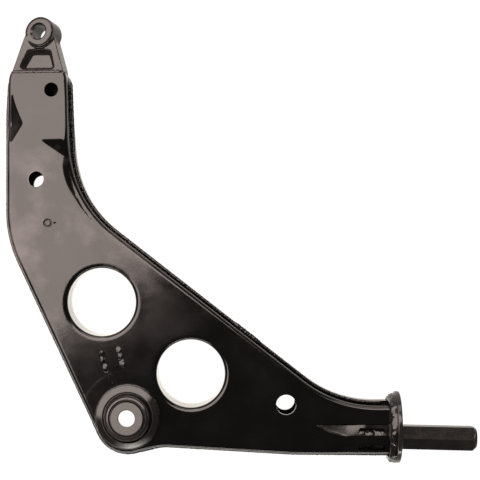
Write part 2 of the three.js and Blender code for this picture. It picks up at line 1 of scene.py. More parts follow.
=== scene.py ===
"""Detailed look of the bare welded control arm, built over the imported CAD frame.

Shapes are drawn in millimetres about the inner joint boss's axis, with z = 0 on the upper plate's
outer face, as the CAD model is, and are moved into the shared frame (metres) as they are made.
"""

import random
from math import asin, atan2, ceil, copysign, cos, exp, hypot, pi, radians, sin, sqrt, tan

import bmesh
import bpy
from mathutils import Euler, Matrix, Vector, noise
from mathutils.geometry import delaunay_2d_cdt


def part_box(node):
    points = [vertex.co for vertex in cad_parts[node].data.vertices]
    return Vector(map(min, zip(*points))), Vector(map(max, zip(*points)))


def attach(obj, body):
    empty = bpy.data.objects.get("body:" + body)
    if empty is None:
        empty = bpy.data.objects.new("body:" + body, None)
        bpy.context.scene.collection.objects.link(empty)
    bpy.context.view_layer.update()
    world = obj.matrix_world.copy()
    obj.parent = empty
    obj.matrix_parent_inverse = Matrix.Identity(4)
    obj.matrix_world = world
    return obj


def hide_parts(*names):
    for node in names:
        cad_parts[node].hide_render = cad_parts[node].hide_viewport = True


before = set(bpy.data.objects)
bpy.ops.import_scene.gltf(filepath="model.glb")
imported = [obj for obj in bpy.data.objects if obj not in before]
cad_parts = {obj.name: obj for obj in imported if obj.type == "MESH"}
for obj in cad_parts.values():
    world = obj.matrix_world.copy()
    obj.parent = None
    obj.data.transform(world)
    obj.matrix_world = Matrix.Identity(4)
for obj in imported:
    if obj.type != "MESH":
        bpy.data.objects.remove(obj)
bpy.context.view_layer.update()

# ---------------- dimensions (mm)

MM = 0.001
NECK_END_Y = 309.6
SPIGOT_END_X = 237.5
OUTER_EDGE = [
    (-105.8, NECK_END_Y, 0),
    (-110.8, 303.4, 12),
    (-112.4, 272, 100),
    (-112.5, 160.5, 112),
    (-18.2, -41.2, 30.6),
    (30.1, -30.1, 50),
    (150, -37.2, 150),
    (SPIGOT_END_X, -37.8, 0),
]
INNER_EDGE = [
    (-57.2, NECK_END_Y, 0),
    (-51.9, 303.2, 12),
    (-47.8, 196.5, 99),
    (188.6, 12.4, 104),
    (SPIGOT_END_X, 12.4, 0),
]
SHEET = 2.8
RIM_Z = -18.0
MID_Z = -19.0
UPPER_INSET = 3.2
LOWER_DRAFT = 0.4
BODY_DEPTH = 38.0
NECK_DEPTH = 28.0

BIG_HOLES = [(-23.7, 103.0), (56.6, 38.5)]
LIP_START = 34.6
LIP_THROAT = 30.6
LIP_COLLAR = 1.4
NECK_HOLE = ((-68.8, 294.2), 6.45)
DRAIN_HOLE = ((-82.8, 213.9), 7.05)
LOWER_DRAIN_HOLE = ((-81.8, 210.4), 8.2)
TOOLING_HOLE = ((142.5, 10.7), 9.0)
BOSS_HOLE = ((0.0, 0.0), 22.0)

SPIGOT_Y = -21.4
SPIGOT_TILT = radians(-1.4)
SPIGOT_TILT_X = 275.0
SHANK = dict(radius=13.3, before_flange=52, length=50.6, tenon=9.8, tenon_end=60)
HEX_FLATS = 21.0
HEX_END_X = 316.6
HEX_CHAMFER = 3.6
FLANGE_X = (242.0, 246.3)
FLANGE_Y = -11.8
FLANGE_RADIUS = 32.6
FLANGE_BORE = 10.1

# the trough round the spigot's shank, and the ridge along its upper edge
SADDLE_RADIUS = 16.9
SADDLE_HALF_WIDTH = 14.0
SADDLE_WALL_SLOPE = 9.0
SADDLE_CROWN = 3.0
SADDLE_TOP = -1.0
SADDLE_FLANK_SLOPE = 0.31
SADDLE_FLANK_EASE = 0.09
SADDLE_EASE_X = (196, 216)
SADDLE_CREASE = 0.3
SADDLE_SLOT = dict(x=220.0, offset=7.3, length=24.6, width=6.6, overlap=0.6)
RAMP_X = (169.9, 212.0)
RAMP_POWER = 1.6
RIDGE = dict(start_y=-8.0, slope=-0.6, curve=0.0087, height=0.42, width=0.8)
RIDGE_RISE_X = (167, 173)
RIDGE_FALL_X = (186, 199)

CHANNEL_ANGLE = radians(15.4)
CHANNEL_PITCH = 15.4
CHANNEL_SLOT = dict(middle=53.8, length=20.0, width=5.4)

# the neck's turned end, the pinch in its outer side and the roll-down at its inner edge
NECK_TWIST = radians(6)
NECK_AXIS_X = -81.0
NECK_AXIS_Z = -14.0
NECK_TURN_Y = (205, 292)
NECK_STEP = dict(foot_y=248.6, slant=0.66, top_y=250.4, shortest=0.8, extra=1.7, straight=0.65)
NECK_SETTLE_Y = (252, 300)
NECK_SHALLOW_Y = (226, 272)
LOWER_TURN_Y = (225, 300)
DENT = dict(tip_x=-94.3, middle_y=263.8, across=11.0, above=38.0, below=18.0, depth=6.5)
ROLL = dict(start_x=-58.5, middle_y=226, slope=0.05, curve=0.0088, fall=0.46, reach=6.0)
ROLL_START_Y = (166, 180)
ROLL_END_Y = (223, 236)

EYE_CENTRE = Vector((-77.6, 345.7, -11.6))
EYE_AXIS = Vector((-0.325, 0.15, 0.934)).normalized()
EYE_RADIUS = 14.0
EYE_LENGTH = 20.8
EYE_CHAMFER = 1.5
EYE_BORE = (6.6, 7.6)
LUG_TOP = -3.3
LUG_BOTTOM = -24.7
POCKET_DEPTH = 5.4

PAD_RADIUS = 42.5
PAD_EDGE = 1.5
PAD_HEIGHT = 0.07
MARK_AT = (-72.0, 174.0)
MARK_RADIUS = 3.1
MARK_DOT = 6.6
MARK_DOT_AT = (MARK_AT[0] + MARK_DOT, MARK_AT[1])
MARK_WIDTHS = (0.55, 0.85)
MARK_DEPTH = 0.6
BOSS_LEAN = radians(7)
BOSS_LEAN_Z = (1.5, 7.5)
LEAN_TO = (-0.55, 0.835)

BEAD_SIDES = 12
SEAM_RADIUS = 1.4
SEAM_INSET = 1.35
SEAM_STEP = 0.9
SEAM_FREE_ENDS = (8, 6)
LUG_WELD = dict(start_x=-104.6, length=46.8, radius=1.9, points=64)
FLANGE_WELD = dict(half_width=25.2, half_depth=18.8, corner=29.0, length=6.4)
SPATTER_DROPS = 46
SPATTER_REACH = (30, 68)
SPATTER_SIZE = (0.22, 0.55)

# how finely the shells are divided
EDGE_STEP = 2.2
WALL_STEPS = 4
BEND_STEPS = 8
LIP_SIDES = 112
LIP_STEPS = 7
LIP_GAP = 0.4
FINE_STEP = 1.35
WIDE_STEP = 5.4
BORDER_CLEAR = 0.7 * FINE_STEP
FINE_NECK_Y = 203
FINE_ROLL = (-62, 162)
FINE_SADDLE = (166, 2)
FINE_PAD = (PAD_RADIUS - 6, PAD_RADIUS + 3)
CREASE_STEP = 1.2
WALL_X = (164, 235.9)
WALL_ROWS = (-0.25, 0.2, 0.6, 1.0)
WALL_CLEAR = (-0.8, 1.6)
RIDGE_X = (169, 198.5)
RIDGE_ROWS = (-1.5, -1.0, -0.5, 0.0, 0.5, 1.0, 1.5)
RIDGE_CLEAR = 2.1
MARK_STEP = 0.4

# ---------------- looks

BLACK = (0.0018, 0.0017, 0.0016)
# dust haze and painted sheen: a lighter colour mixed into the black paint about the neck's flat,
# where the reflection is uneven
DUST_AND_SHEEN = (0.05, 0.043, 0.042)
DUST_AND_SHEEN_AT = (-55.0, 165.0)
DUST_AND_SHEEN_REACH = (0.055, 0.12)

CAMERA_HEIGHT = 1200.0
VIEW_CENTRE = (101.0, 159.0)
PANEL_RADIANCE = 5.6
PANEL_REACH = (0.075, 2.2)
PANEL_SIDE = (-1.15, 0.95)
PANEL_OUTWARD = Vector((-0.62, 0.78))
PANEL_SIDEWAYS = Vector((0.78, 0.62))
SUN_STRENGTH = 1.4

FLOOR_HALF = 6.0
FLOOR_Z = -0.0006
FLOOR_COLOUR = (0.12, 0.11, 0.1)
FLOOR_GLOW = (1.0, 0.95, 0.88)
FLOOR_WHITE = 1.05
BACKDROP = 0.93

boss_low, boss_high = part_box("inner_joint_boss")
boss_x, boss_y = [(boss_low[i] + boss_high[i]) / 2 for i in (0, 1)]
ORIGIN = Vector((boss_x, boss_y, boss_low[2] + 50 * MM))


def row(p):
    """A point in drawing millimetres, in the shared frame."""
    return ORIGIN + Vector(p) * MM


def clamp(v, low=0.0, high=1.0):
    return max(low, min(high, v))


def smoothstep(v, low, high):
    t = clamp((v - low) / (high - low))
    return t * t * (3 - 2 * t)


# ---------------- materials


def node_material(name, base, roughness):
    material = bpy.data.materials.new(name)
    material.use_nodes = True
    tree = material.node_tree
    shader = tree.nodes["Principled BSDF"]
    shader.inputs["Base Color"].default_value = (*base, 1)
    shader.inputs["Roughness"].default_value = roughness
    shader.inputs["IOR"].default_value = 1.5
    return material, tree, shader


def object_noise(tree, scale, detail=3.0, roughness=0.5):
    """A noise texture in the shared frame, whose scale is features per metre."""
    coords = tree.nodes.new("ShaderNodeTexCoord")
    texture = tree.nodes.new("ShaderNodeTexNoise")
    texture.inputs["Scale"].default_value = scale
    texture.inputs["Detail"].default_value = detail
    texture.inputs["Roughness"].default_value = roughness
    tree.links.new(coords.outputs["Object"], texture.inputs["Vector"])
    return texture.outputs["Fac"]


def remap(tree, value, *limits):
    """A value taken from one range (two limits) to another (two more)."""
    node = tree.nodes.new("ShaderNodeMapRange")
    for key, number in zip(("From Min", "From Max", "To Min", "To Max"), limits):
        node.inputs[key].default_value = number
    tree.links.new(value, node.inputs["Value"])
    return node.outputs["Result"]


def add_bump(tree, shader, layers):
    """Stacked bumps, each (height output, distance in metres, strength)."""
    normal = None
    for height, distance, strength in layers:
        bump = tree.nodes.new("ShaderNodeBump")
        bump.inputs["Distance"].default_value = distance
        bump.inputs["Strength"].default_value = strength
        tree.links.new(height, bump.inputs["Height"])
        if normal is not None:
            tree.links.new(normal, bump.inputs["Normal"])
        normal = bump.outputs["Normal"]
    tree.links.new(normal, shader.inputs["Normal"])


def object_measure(tree, operation, other=(0, 0, 0)):
    """A number taken from the shared frame's coordinates, such as a distance from a point."""
    coords = tree.nodes.new("ShaderNodeTexCoord")
    node = tree.nodes.new("ShaderNodeVectorMath")
    node.operation = operation
    node.inputs[1].default_value = other
    tree.links.new(coords.outputs["Object"], node.inputs[0])
    return node.outputs["Value"]


def multiply(tree, first, second):
    node = tree.nodes.new("ShaderNodeMath")
    node.operation = "MULTIPLY"
    tree.links.new(first, node.inputs[0])
    tree.links.new(second, node.inputs[1])
    return node.outputs[0]


def mix_colours(tree, shader, dark, light, factor):
    """A base colour that goes from dark to light with factor."""
    mix = tree.nodes.new("ShaderNodeMix")
    mix.data_type = "RGBA"
    mix.inputs["A"].default_value = (*dark, 1)
    mix.inputs["B"].default_value = (*light, 1)
    tree.links.new(factor, mix.inputs["Factor"])
    tree.links.new(mix.outputs["Result"], shader.inputs["Base Color"])


def mottle(tree, shader, dark, light, scale):
    factor = remap(tree, object_noise(tree, scale, 4.0, 0.6), 0.35, 0.7, 0.0, 1.0)
    mix_colours(tree, shader, dark, light, factor)


def dust_and_painted_sheen(tree, shader):
    """Black paint with a smeared haze of dust and painted sheen: lighter colour mixed in, thickest on
    the flat of the neck, stands in for the uneven reflection there.
    """
    distance = object_measure(tree, "DISTANCE", row((*DUST_AND_SHEEN_AT, 0)))
    near = remap(tree, distance, DUST_AND_SHEEN_REACH[0], DUST_AND_SHEEN_REACH[1], 1.0, 0.03)
    dust_and_sheen_patches = remap(tree, object_noise(tree, 26.0, 5.0, 0.55), 0.46, 0.66, 0.0, 1.0)
    mix_colours(tree, shader, BLACK, DUST_AND_SHEEN, multiply(tree, near, dust_and_sheen_patches))


def gloss_paint():
    """Dipped black paint on pressed sheet: slightly wavy, with orange peel, dusty patches and lighter
    patches of painted sheen on the neck.
    """
    material, tree, shader = node_material("gloss_black_paint", BLACK, 0.1)
    # painted sheen with dust: lighter colour near the flat of the neck
    dust_and_painted_sheen(tree, shader)
    patches = object_noise(tree, 21.0, 4.0, 0.62)
    tree.links.new(remap(tree, patches, 0.3, 0.75, 0.07, 0.19), shader.inputs["Roughness"])
    waves = (object_noise(tree, 24.0, 1.0), 0.0004, 0.3)
    peel = (object_noise(tree, 520.0, 2.0), 0.00003, 0.4)
    add_bump(tree, shader, [waves, peel])
    return material


def forged_paint():
    """The same paint on forged and turned steel, over a finer, flatter skin."""
    material, tree, shader = node_material("painted_forging", (0.004, 0.004, 0.004), 0.17)
    mottle(tree, shader, (0.006, 0.0052, 0.005), (0.012, 0.0105, 0.01), 60.0)
    patches = object_noise(tree, 90.0, 3.0, 0.6)
    tree.links.new(remap(tree, patches, 0.3, 0.7, 0.13, 0.19), shader.inputs["Roughness"])
    add_bump(tree, shader, [(object_noise(tree, 650.0, 3.0), 0.00004, 0.6)])
    return material


def weld_paint():
    """Paint pooled over rippled weld metal."""
    material, tree, shader = node_material("painted_weld", (0.005, 0.005, 0.005), 0.2)
    mottle(tree, shader, BLACK, (0.007, 0.0062, 0.0055), 240.0)
    grain = object_noise(tree, 480.0, 3.0, 0.6)
    tree.links.new(remap(tree, grain, 0.3, 0.7, 0.12, 0.34), shader.inputs["Roughness"])
    add_bump(tree, shader, [(object_noise(tree, 600.0, 2.0, 0.5), 0.00008, 0.5)])
    return material


PAINT = gloss_paint()
FORGED = forged_paint()
WELD = weld_paint()

# ---------------- mesh helpers


def scene_object(name, data):
    obj = bpy.data.objects.new(name, data)
    bpy.context.scene.collection.objects.link(obj)
    return obj


def add_modifier(obj, kind, **settings):
    modifier = obj.modifiers.new(kind.lower(), kind)
    for key, value in settings.items():
        setattr(modifier, key, value)


def grid_faces(rows, columns, first=0, loop_rows=False, loop_columns=False):
    """Faces of a grid of points that is stored row by row, joined up where it loops."""
    faces = []
    for i in range(rows if loop_rows else rows - 1):
        here = first + i * columns
        there = first + (i + 1) % rows * columns
        for j in range(columns if loop_columns else columns - 1):
            k = (j + 1) % columns
            faces.append((here + j, there + j, there + k, here + k))
    return faces


def mesh_object(name, verts, faces, merge=0.0):
    """A new object from drawing-frame points; merge is in millimetres."""
    mesh = bpy.data.meshes.new(name)
    bm = bmesh.new()
    made = [bm.verts.new(row(v)) for v in verts]
    for face in faces:
        try:
            bm.faces.new([made[i] for i in face])
        except ValueError:
            continue
    if merge:
        bmesh.ops.remove_doubles(bm, verts=bm.verts, dist=merge * MM)
    bmesh.ops.recalc_face_normals(bm, faces=bm.faces)
    bm.to_mesh(mesh)
    bm.free()
    return scene_object(name, mesh)


def bake(obj):
    """Applies the object's modifiers to its mesh."""
    graph = bpy.context.evaluated_depsgraph_get()
    graph.update()
    made = bpy.data.meshes.new_from_object(obj.evaluated_get(graph))
    obj.modifiers.clear()
    old = obj.data
    obj.data = made
    bpy.data.meshes.remove(old)


def boolean(obj, other, operation):
    add_modifier(obj, "BOOLEAN", operation=operation, solver="EXACT", object=other)
    bake(obj)
    bpy.data.objects.remove(other)


def face_up(obj, up):
    """Turns the skin over if its plate doesn't face up (+1) or down (-1)."""
    mesh = obj.data
    total = sum(p.normal.z * p.area for p in mesh.polygons)
    if total * up < 0:
        mesh.flip_normals()


def finish_piece(obj, material, nodes=(), sharp=35.0, bevel=0.0, weighted=True):
    """Edges, paint and shading, and what the piece rides on and replaces."""
    if bevel:
        limit = dict(limit_method="ANGLE", angle_limit=radians(40))
        add_modifier(obj, "BEVEL", width=bevel * MM, segments=2, **limit)
        bake(obj)
    mesh = obj.data
    mesh.materials.clear()
    mesh.materials.append(material)
    for polygon in mesh.polygons:
        polygon.use_smooth = True
        polygon.material_index = 0
    mesh.set_sharp_from_angle(angle=radians(sharp))
    if weighted:
        add_modifier(obj, "WEIGHTED_NORMAL", mode="FACE_AREA", weight=90, keep_sharp=True)
        bake(obj)
    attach(obj, "root")
    if nodes:
        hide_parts(*nodes)


def lathe(name, profile, sides, place):
    """A solid turned about z from a closed list of (radius, z), moved by place."""
    verts = []
    for i in range(sides):
        a = 2 * pi * i / sides
        verts += [place @ Vector((r * cos(a), r * sin(a), z)) for r, z in profile]
    faces = grid_faces(sides, len(profile), loop_rows=True, loop_columns=True)
    return mesh_object(name, verts, faces, merge=2e-3)


def rounded(points, radii, steps=5):
    """The closed outline through points, each corner rounded by its radius."""
    out = []
    count = len(points)
    for i, corner in enumerate(points):
        here = Vector(corner)
        radius = radii[i] if isinstance(radii, (list, tuple)) else radii
        before = Vector(points[i - 1]) - here
        after = Vector(points[(i + 1) % count]) - here
        if radius <= 0:
            out.append(corner)
            continue
        angle = before.angle(after)
        reach = min(radius / tan(angle / 2), before.length * 0.48, after.length * 0.48)
        start = here + before.normalized() * reach
        end = here + after.normalized() * reach
        for k in range(steps + 1):
            t = k / steps
            p = start * (1 - t) ** 2 + here * 2 * t * (1 - t) + end * t**2
            out.append((p.x, p.y))
    return out


def prism(name, place, low, high, outline, top_outline=None):
    """A block along z; a top outline of as many points lets it taper."""
    count = len(outline)
    verts = [place @ Vector((x, y, low)) for x, y in outline]
    verts += [place @ Vector((x, y, high)) for x, y in top_outline or outline]
    faces = [tuple(range(count))[::-1], tuple(range(count, 2 * count))]
    for i in range(count):
        j = (i + 1) % count
        faces.append((i, j, count + j, count + i))
    return mesh_object(name, verts, faces)


# ---------------- plan of the arm


class Edge:
    """One long side of the plan: lines joined by arcs, measured by distance."""

    def __init__(self, corners, inward):
        self.inward = inward
        self.parts = []
        here = Vector(corners[0][:2])
        for i in range(1, len(corners) - 1):
            corner = Vector(corners[i][:2])
            into = (corner - Vector(corners[i - 1][:2])).normalized()
            away = (Vector(corners[i + 1][:2]) - corner).normalized()
            turn = atan2(into.x * away.y - into.y * away.x, into.dot(away))
            radius = corners[i][2]
            back = radius * tan(abs(turn) / 2)
            start = corner - into * back
            side = Vector((-into.y, into.x)) * copysign(1, turn)
            centre = start + side * radius
            first = atan2(start.y - centre.y, start.x - centre.x)
            self.parts.append(("line", here, start, (start - here).length))
            self.parts.append(("arc", centre, (radius, first, turn), radius * abs(turn)))
            here = corner + away * back
        end = Vector(corners[-1][:2])
        self.parts.append(("line", here, end, (end - here).length))
        self.length = sum(part[3] for part in self.parts)

    def at(self, distance):
        """The point and the unit normal into the arm at a distance along the edge."""
        left = clamp(distance, 0, self.length)
        for kind, a, b, length in self.parts:
            if left <= length + 1e-9 or (kind, a, b, length) == self.parts[-1]:
                break
            left -= length
        share = clamp(left / length)
        if kind == "line":
            direction = (b - a).normalized()
            point = a.lerp(b, share)
        else:
            radius, first, turn = b
            angle = first + share * turn
            point = a + Vector((cos(angle), sin(angle))) * radius
            s = copysign(1, turn)
            direction = Vector((-sin(angle), cos(angle))) * s
        return point, Vector((-direction.y, direction.x)) * self.inward

    def samples(self, step):
        count = max(2, round(self.length / step))
        return [self.at(self.length * i / count) for i in range(count + 1)]


OUTER = Edge(OUTER_EDGE, 1)
INNER = Edge(INNER_EDGE, -1)
# the upper shell's end is square
UPPER_OUTER = Edge([(-110.9, NECK_END_Y, 0)] + OUTER_EDGE[2:], 1)
UPPER_INNER = Edge([(-51.9, NECK_END_Y, 0)] + INNER_EDGE[2:], -1)

# ---------------- heights of the plates


def soft_min(a, b, width):
    """The lower of two heights, with the crease between them rounded."""
    h = clamp(0.5 + 0.5 * (b - a) / width)
    return b * (1 - h) + a * h - width * h * (1 - h)


def soft_ramp(v, width):
    """max(v, 0) with a rounded knee."""
    if v <= -width:
        return 0.0
    if v >= width:
        return v
    return (v + width) ** 2 / (4 * width)


def saddle(x, y):
    """The trough pressed round the spigot's shank, 0 or negative."""
    sideways = abs(y - SPIGOT_Y)
    flank = max(min(sideways, SADDLE_HALF_WIDTH) - SADDLE_CROWN, 0)
    beyond = max(sideways - SADDLE_HALF_WIDTH, 0)
    slope = SADDLE_FLANK_SLOPE - SADDLE_FLANK_EASE * smoothstep(x, *SADDLE_EASE_X)
    low = SADDLE_TOP - flank * slope
    deepest = SADDLE_TOP - (SADDLE_HALF_WIDTH - SADDLE_CROWN) * SADDLE_FLANK_SLOPE
    along = clamp((x - RAMP_X[0]) / (RAMP_X[1] - RAMP_X[0]))
    lift = -deepest * (1 - along) ** RAMP_POWER
    return soft_min(0.0, low + lift + beyond * SADDLE_WALL_SLOPE, SADDLE_CREASE)


def ridge_y(x):
    """The line from the trough's tip down to its crown."""
    u = x - RAMP_X[0]
    return RIDGE["start_y"] + RIDGE["slope"] * u + RIDGE["curve"] * u * u


def ridge(x, y):
    """The pressing's sharp upper edge along that line."""
    weight = smoothstep(x, *RIDGE_RISE_X) * (1 - smoothstep(x, *RIDGE_FALL_X))
    return RIDGE["height"] * weight * exp(-(((y - ridge_y(x)) / RIDGE["width"]) ** 2))


def pad(x, y):
    """The round embossed seat about the boss."""
    r = hypot(x, y)
    return PAD_HEIGHT * (1 - smoothstep(r, PAD_RADIUS - PAD_EDGE, PAD_RADIUS))


def left_dent(x, y):
    """The two-faced pinch in the neck's outer side: depth grows outwards from its tip."""
    outward = (DENT["tip_x"] - x) / DENT["across"]
    if y > DENT["middle_y"]:
        border = sin(pi / 2 * min((y - DENT["middle_y"]) / DENT["above"], 1))
    else:
        border = (DENT["middle_y"] - y) / DENT["below"]
    return -DENT["depth"] * soft_ramp(outward - border, 0.06)


def neck_tilt(x, y):
    """The end of the neck is turned about its length, and steps up at its inner side."""
    across = x - NECK_AXIS_X
    slope = tan(NECK_TWIST) * across
    if slope <= 0:
        return slope * smoothstep(y, *NECK_TURN_Y)
    extra = 1 + NECK_STEP["extra"] * (1 - smoothstep(y, *NECK_SETTLE_Y))
    foot_y = NECK_STEP["foot_y"] - NECK_STEP["slant"] * across
    t = clamp((y - foot_y) / max(NECK_STEP["top_y"] - foot_y, NECK_STEP["shortest"]))
    straight = NECK_STEP["straight"]
    rise = smoothstep(t, 0, 1) * (1 - straight) + t * straight
    return slope * extra * rise


def inner_roll(x, y):
    """The plate rolls down early beside the concave inner edge, below the neck's step."""
    below = ROLL["middle_y"] - y
    start_x = ROLL["start_x"] + ROLL["slope"] * below + ROLL["curve"] * below * below
    run = (x - start_x) / hypot(1, ROLL["slope"] + 2 * ROLL["curve"] * below)
    weight = smoothstep(y, *ROLL_START_Y) * (1 - smoothstep(y, *ROLL_END_Y))
    return -ROLL["fall"] * weight * min(soft_ramp(run, 1.0), ROLL["reach"])


def mark(x, y):
    """A plain tool mark: a small punched ring beside a dot."""
    dx, dy = x - MARK_AT[0], y - MARK_AT[1]
    ring = exp(-(((hypot(dx, dy) - MARK_RADIUS) / MARK_WIDTHS[0]) ** 2))
    dot = exp(-((hypot(dx - MARK_DOT, dy) / MARK_WIDTHS[1]) ** 2))
    return -MARK_DEPTH * max(ring, dot)


def upper_z(x, y):
    """The upper plate's height."""
    pressed = pad(x, y) + saddle(x, y) + neck_tilt(x, y)
    return pressed + ridge(x, y) + left_dent(x, y) + inner_roll(x, y) + mark(x, y)


def lower_z(x, y):
    """The lower plate's height: the box is shallower along the neck."""
    depth = BODY_DEPTH + (NECK_DEPTH - BODY_DEPTH) * smoothstep(y, *NECK_SHALLOW_Y)
    tilt = tan(NECK_TWIST) * (x - NECK_AXIS_X) * smoothstep(y, *LOWER_TURN_Y)
    return -depth + tilt - saddle(x, y) - pad(x, y)


# ---------------- pressed shells


def circle(centre, radius, count):
    step = 2 * pi / count
    return [
        (centre[0] + radius * cos(i * step), centre[1] + radius * sin(i * step))
        for i in range(count)
    ]


def slot_outline(x, y, angle, length, width, count=10):
    half = (length - width) / 2
    c, s = cos(angle), sin(angle)
    out = []
    for end, first in ((1, -pi / 2), (-1, pi / 2)):
        for i in range(count + 1):
            a = first + pi * i / count
            px, py = end * half + width / 2 * cos(a), width / 2 * sin(a)
            out.append((x + px * c - py * s, y + px * s + py * c))
    return out


def inside_loop(x, y, loop):
    found = False
    for (x0, y0), (x1, y1) in zip(loop, loop[1:] + loop[:1]):
        if (y0 > y) != (y1 > y) and x < (x1 - x0) * (y - y0) / (y1 - y0) + x0:
            found = not found
    return found


def fine_area(x, y):
    """Where the plate's shape changes quickly."""
    in_neck = y > FINE_NECK_Y or (x > FINE_ROLL[0] and y > FINE_ROLL[1])
    in_saddle = x > FINE_SADDLE[0] and y < FINE_SADDLE[1]
    at_pad = FINE_PAD[0] < hypot(x, y) < FINE_PAD[1]
    return in_neck or in_saddle or at_pad


def crease_places(low, high):
    """Values of x at whole crease steps between two limits."""
    first, last = ceil(low / CREASE_STEP), ceil(high / CREASE_STEP)
    return [i * CREASE_STEP for i in range(first, last)]


def crease_lines():
    """Rows of points along the trough's side wall and along the ridge at its tip."""
    foot = SPIGOT_Y + SADDLE_HALF_WIDTH
    walls = [[(x, foot + aside) for x in crease_places(*WALL_X)] for aside in WALL_ROWS]
    ridges = [[(x, ridge_y(x) + aside) for x in crease_places(*RIDGE_X)] for aside in RIDGE_ROWS]
    return walls + ridges


def near_crease(x, y):
    """Where those rows stand, so that no other points come too close."""
    past_foot = y - SPIGOT_Y - SADDLE_HALF_WIDTH
    at_wall = x > WALL_X[0] and WALL_CLEAR[0] < past_foot < WALL_CLEAR[1]
    at_ridge = RIDGE_X[0] - 1 < x < RIDGE_X[1] + 1 and abs(y - ridge_y(x)) < RIDGE_CLEAR
    return at_wall or at_ridge


def mark_points():
    """Rings of points that draw the tool mark's grooves."""
    points = []
    for i in range(8):
        points += circle(MARK_AT, MARK_RADIUS - 1.4 + MARK_STEP * i, 40)
    for i in range(1, 5):
        points += circle(MARK_DOT_AT, MARK_STEP * i, 6 * i)
    return points + [MARK_DOT_AT]


def crossings(border, y):
    """Where a row across the plate meets its border."""
    return [
        x0 + (x1 - x0) * (y - y0) / (y1 - y0)
        for (x0, y0), (x1, y1) in zip(border, border[1:] + border[:1])
        if (y0 > y) != (y1 > y)
    ]


def inner_points(border, discs):
    """Points that fill the plate inside its border and outside its holes."""
    left, right = min(p[0] for p in border), max(p[0] for p in border)
    bottom, top = min(p[1] for p in border), max(p[1] for p in border)
    ratio = round(WIDE_STEP / FINE_STEP)
    points = []
    for j in range(1, int((top - bottom) / FINE_STEP) + 1):
        y = bottom + j * FINE_STEP
        ends = crossings(border, y)
        for i in range(1, int((right - left) / FINE_STEP) + 1):
            x = left + (i + 0.5 * (j % 2)) * FINE_STEP
            if not fine_area(x, y) and (i % ratio or j % ratio):
                continue
            if sum(1 for end in ends if end < x) % 2 == 0:
                continue
            if min(abs(x - end) for end in ends) < BORDER_CLEAR or near_crease(x, y):
                continue
            if any(hypot(x - cx, y - cy) < reach for (cx, cy), reach in discs):
                continue
            points.append((x, y))
    return points


def plate(border, loops, discs, extra, height):
    """Triangles of the plate: (points, faces)."""
    coords, edges = [], []
    for loop in [border] + loops:
        first = len(coords)
        coords += [Vector(p) for p in loop]
        edges += [(first + i, first + (i + 1) % len(loop)) for i in range(len(loop))]
    for line in crease_lines():
        first = len(coords)
        coords += [Vector(p) for p in line]
        edges += [(first + i, first + i + 1) for i in range(len(line) - 1)]
    coords += [Vector(p) for p in inner_points(border, discs) + extra]
    verts, _, faces, _, _, _ = delaunay_2d_cdt(coords, edges, [], 1, 1e-5)
    kept = []
    for face in faces:
        x = sum(verts[i].x for i in face) / len(face)
        y = sum(verts[i].y for i in face) / len(face)
        if inside_loop(x, y, border) and not any(inside_loop(x, y, loop) for loop in loops):
            kept.append(tuple(face))
    return [(v.x, v.y, height(v.x, v.y)) for v in verts], kept


def side_strip(edge, insets, rim, up, height):
    """A wall and its bend along one edge: rows of points from the rim to the plate.

    insets(point) gives (wall inset at the rim, wall inset at the bend, bend radius).
    """
    rows = []
    for point, normal in edge.samples(EDGE_STEP):
        at_rim, at_bend, bend = insets(point)
        inner = point + normal * (at_bend + bend)
        start = height(inner.x, inner.y) - up * bend
        line = []
        for i in range(WALL_STEPS):
            t = i / WALL_STEPS
            p = point + normal * (at_rim + (at_bend - at_rim) * t)
            line.append((p.x, p.y, rim + (start - rim) * t))
        for i in range(BEND_STEPS + 1):
            a = pi / 2 * i / BEND_STEPS
            p = point + normal * (at_bend + bend * (1 - cos(a)))
            line.append((p.x, p.y, start + up * bend * sin(a)))
        rows.append(line)
    return rows


def hole_loops(plain_holes):
    """Outlines of the round holes, and the discs about them that take no filling points."""
    lip = LIP_START + LIP_COLLAR
    loops = [circle(centre, lip, LIP_SIDES) for centre in BIG_HOLES]
    discs = [(centre, lip + 0.9) for centre in BIG_HOLES]
    for centre, radius in plain_holes:
        loops.append(circle(centre, radius, max(40, int(radius * 4))))
        discs.append((centre, radius + 0.7))
    return loops, discs


def lip_rings(centre, up, top):
    """Rings of a big hole's funnel lip, from its start in the plate down to its edge."""
    bend = LIP_START - LIP_THROAT
    sizes = [(LIP_START + LIP_COLLAR, top)]
    for i in range(LIP_STEPS + 1):
        a = pi / 2 * i / LIP_STEPS
        sizes.append((LIP_START - bend * sin(a), top - up * bend * (1 - cos(a))))
    sizes.append((LIP_THROAT, MID_Z + up * LIP_GAP))
    return [[(x, y, z) for x, y in circle(centre, r, LIP_SIDES)] for r, z in sizes]


def add_lip(verts, faces, rings):
    first = len(verts)
    verts.extend(p for ring in rings for p in ring)
    for j in range(len(rings) - 1):
        for i in range(LIP_SIDES):
            a = first + j * LIP_SIDES + i
            b = first + j * LIP_SIDES + (i + 1) % LIP_SIDES
            faces.append((a, b, b + LIP_SIDES, a + LIP_SIDES))


